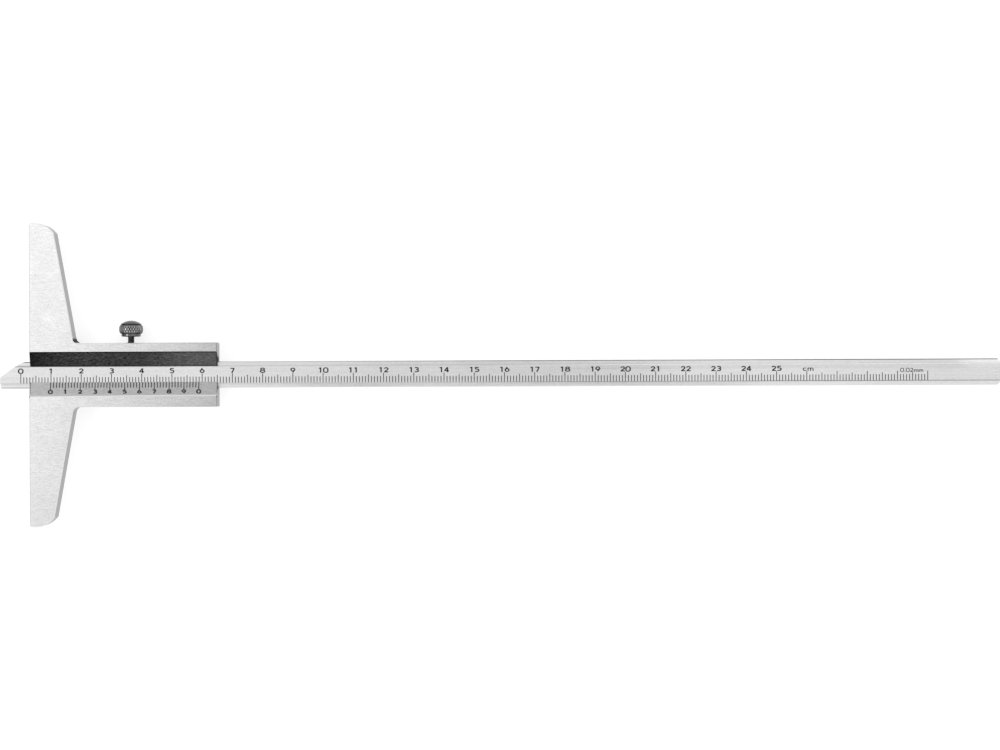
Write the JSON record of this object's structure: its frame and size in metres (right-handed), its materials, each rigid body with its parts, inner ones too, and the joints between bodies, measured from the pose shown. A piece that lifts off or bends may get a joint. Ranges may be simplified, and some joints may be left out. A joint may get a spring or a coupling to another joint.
{
  "type": "depth gauge",
  "caption": "Vernier depth gauge: a flat bridge with a slider body, a stepped graduated rod that slides through it, and a knurled lock screw that presses a leaf spring on the rod.",
  "frame": {"origin": "middle of the measuring face, on the rod's centreline and at half the plate's thickness", "axes": "+X along the rod towards its plain end, so the measuring end points to -X; +Y towards the lock screw; +Z out of the graduated front"},
  "size_m": [0.3311, 0.1006, 0.008],
  "materials": {
    "frame_steel": "satin, brushed along the rod; the vernier bevel is matt, the upper bevel is burnished",
    "rod_steel": "satin, finely ground along its length",
    "spring_steel": "plain rolled spring strip",
    "screw_steel": "turned and blackened; the crests of the diamond knurl and the dome are rubbed bright",
    "marks": "dark filling of the etched graduation lines and numbers"
  },
  "bodies": {
    "frame": {"frame": "frame_steel"},
    "rod": {"graduated_rod": "rod_steel"},
    "leaf": {"leaf_spring": "spring_steel"},
    "screw": {"lock_screw": "screw_steel"}
  },
  "joints": [
    {"name": "rod_slide", "type": "slide", "parent": "frame", "child": "rod", "axis": [-1, 0, 0], "range_m": [-0.00994, 0.24006]},
    {"name": "lock_travel", "type": "slide", "parent": "frame", "child": "leaf", "axis": [0, 1, 0], "range_m": [0, 0.000675]},
    {"name": "lock_turn", "type": "hinge", "parent": "leaf", "child": "screw", "pos_m": [0.03315, 0, 0], "axis": [0, 1, 0], "range_deg": [0, 540]}
  ],
  "couplings": [
    {"joint": "lock_turn", "follows": "lock_travel", "rad_per_m": 13963}
  ]
}
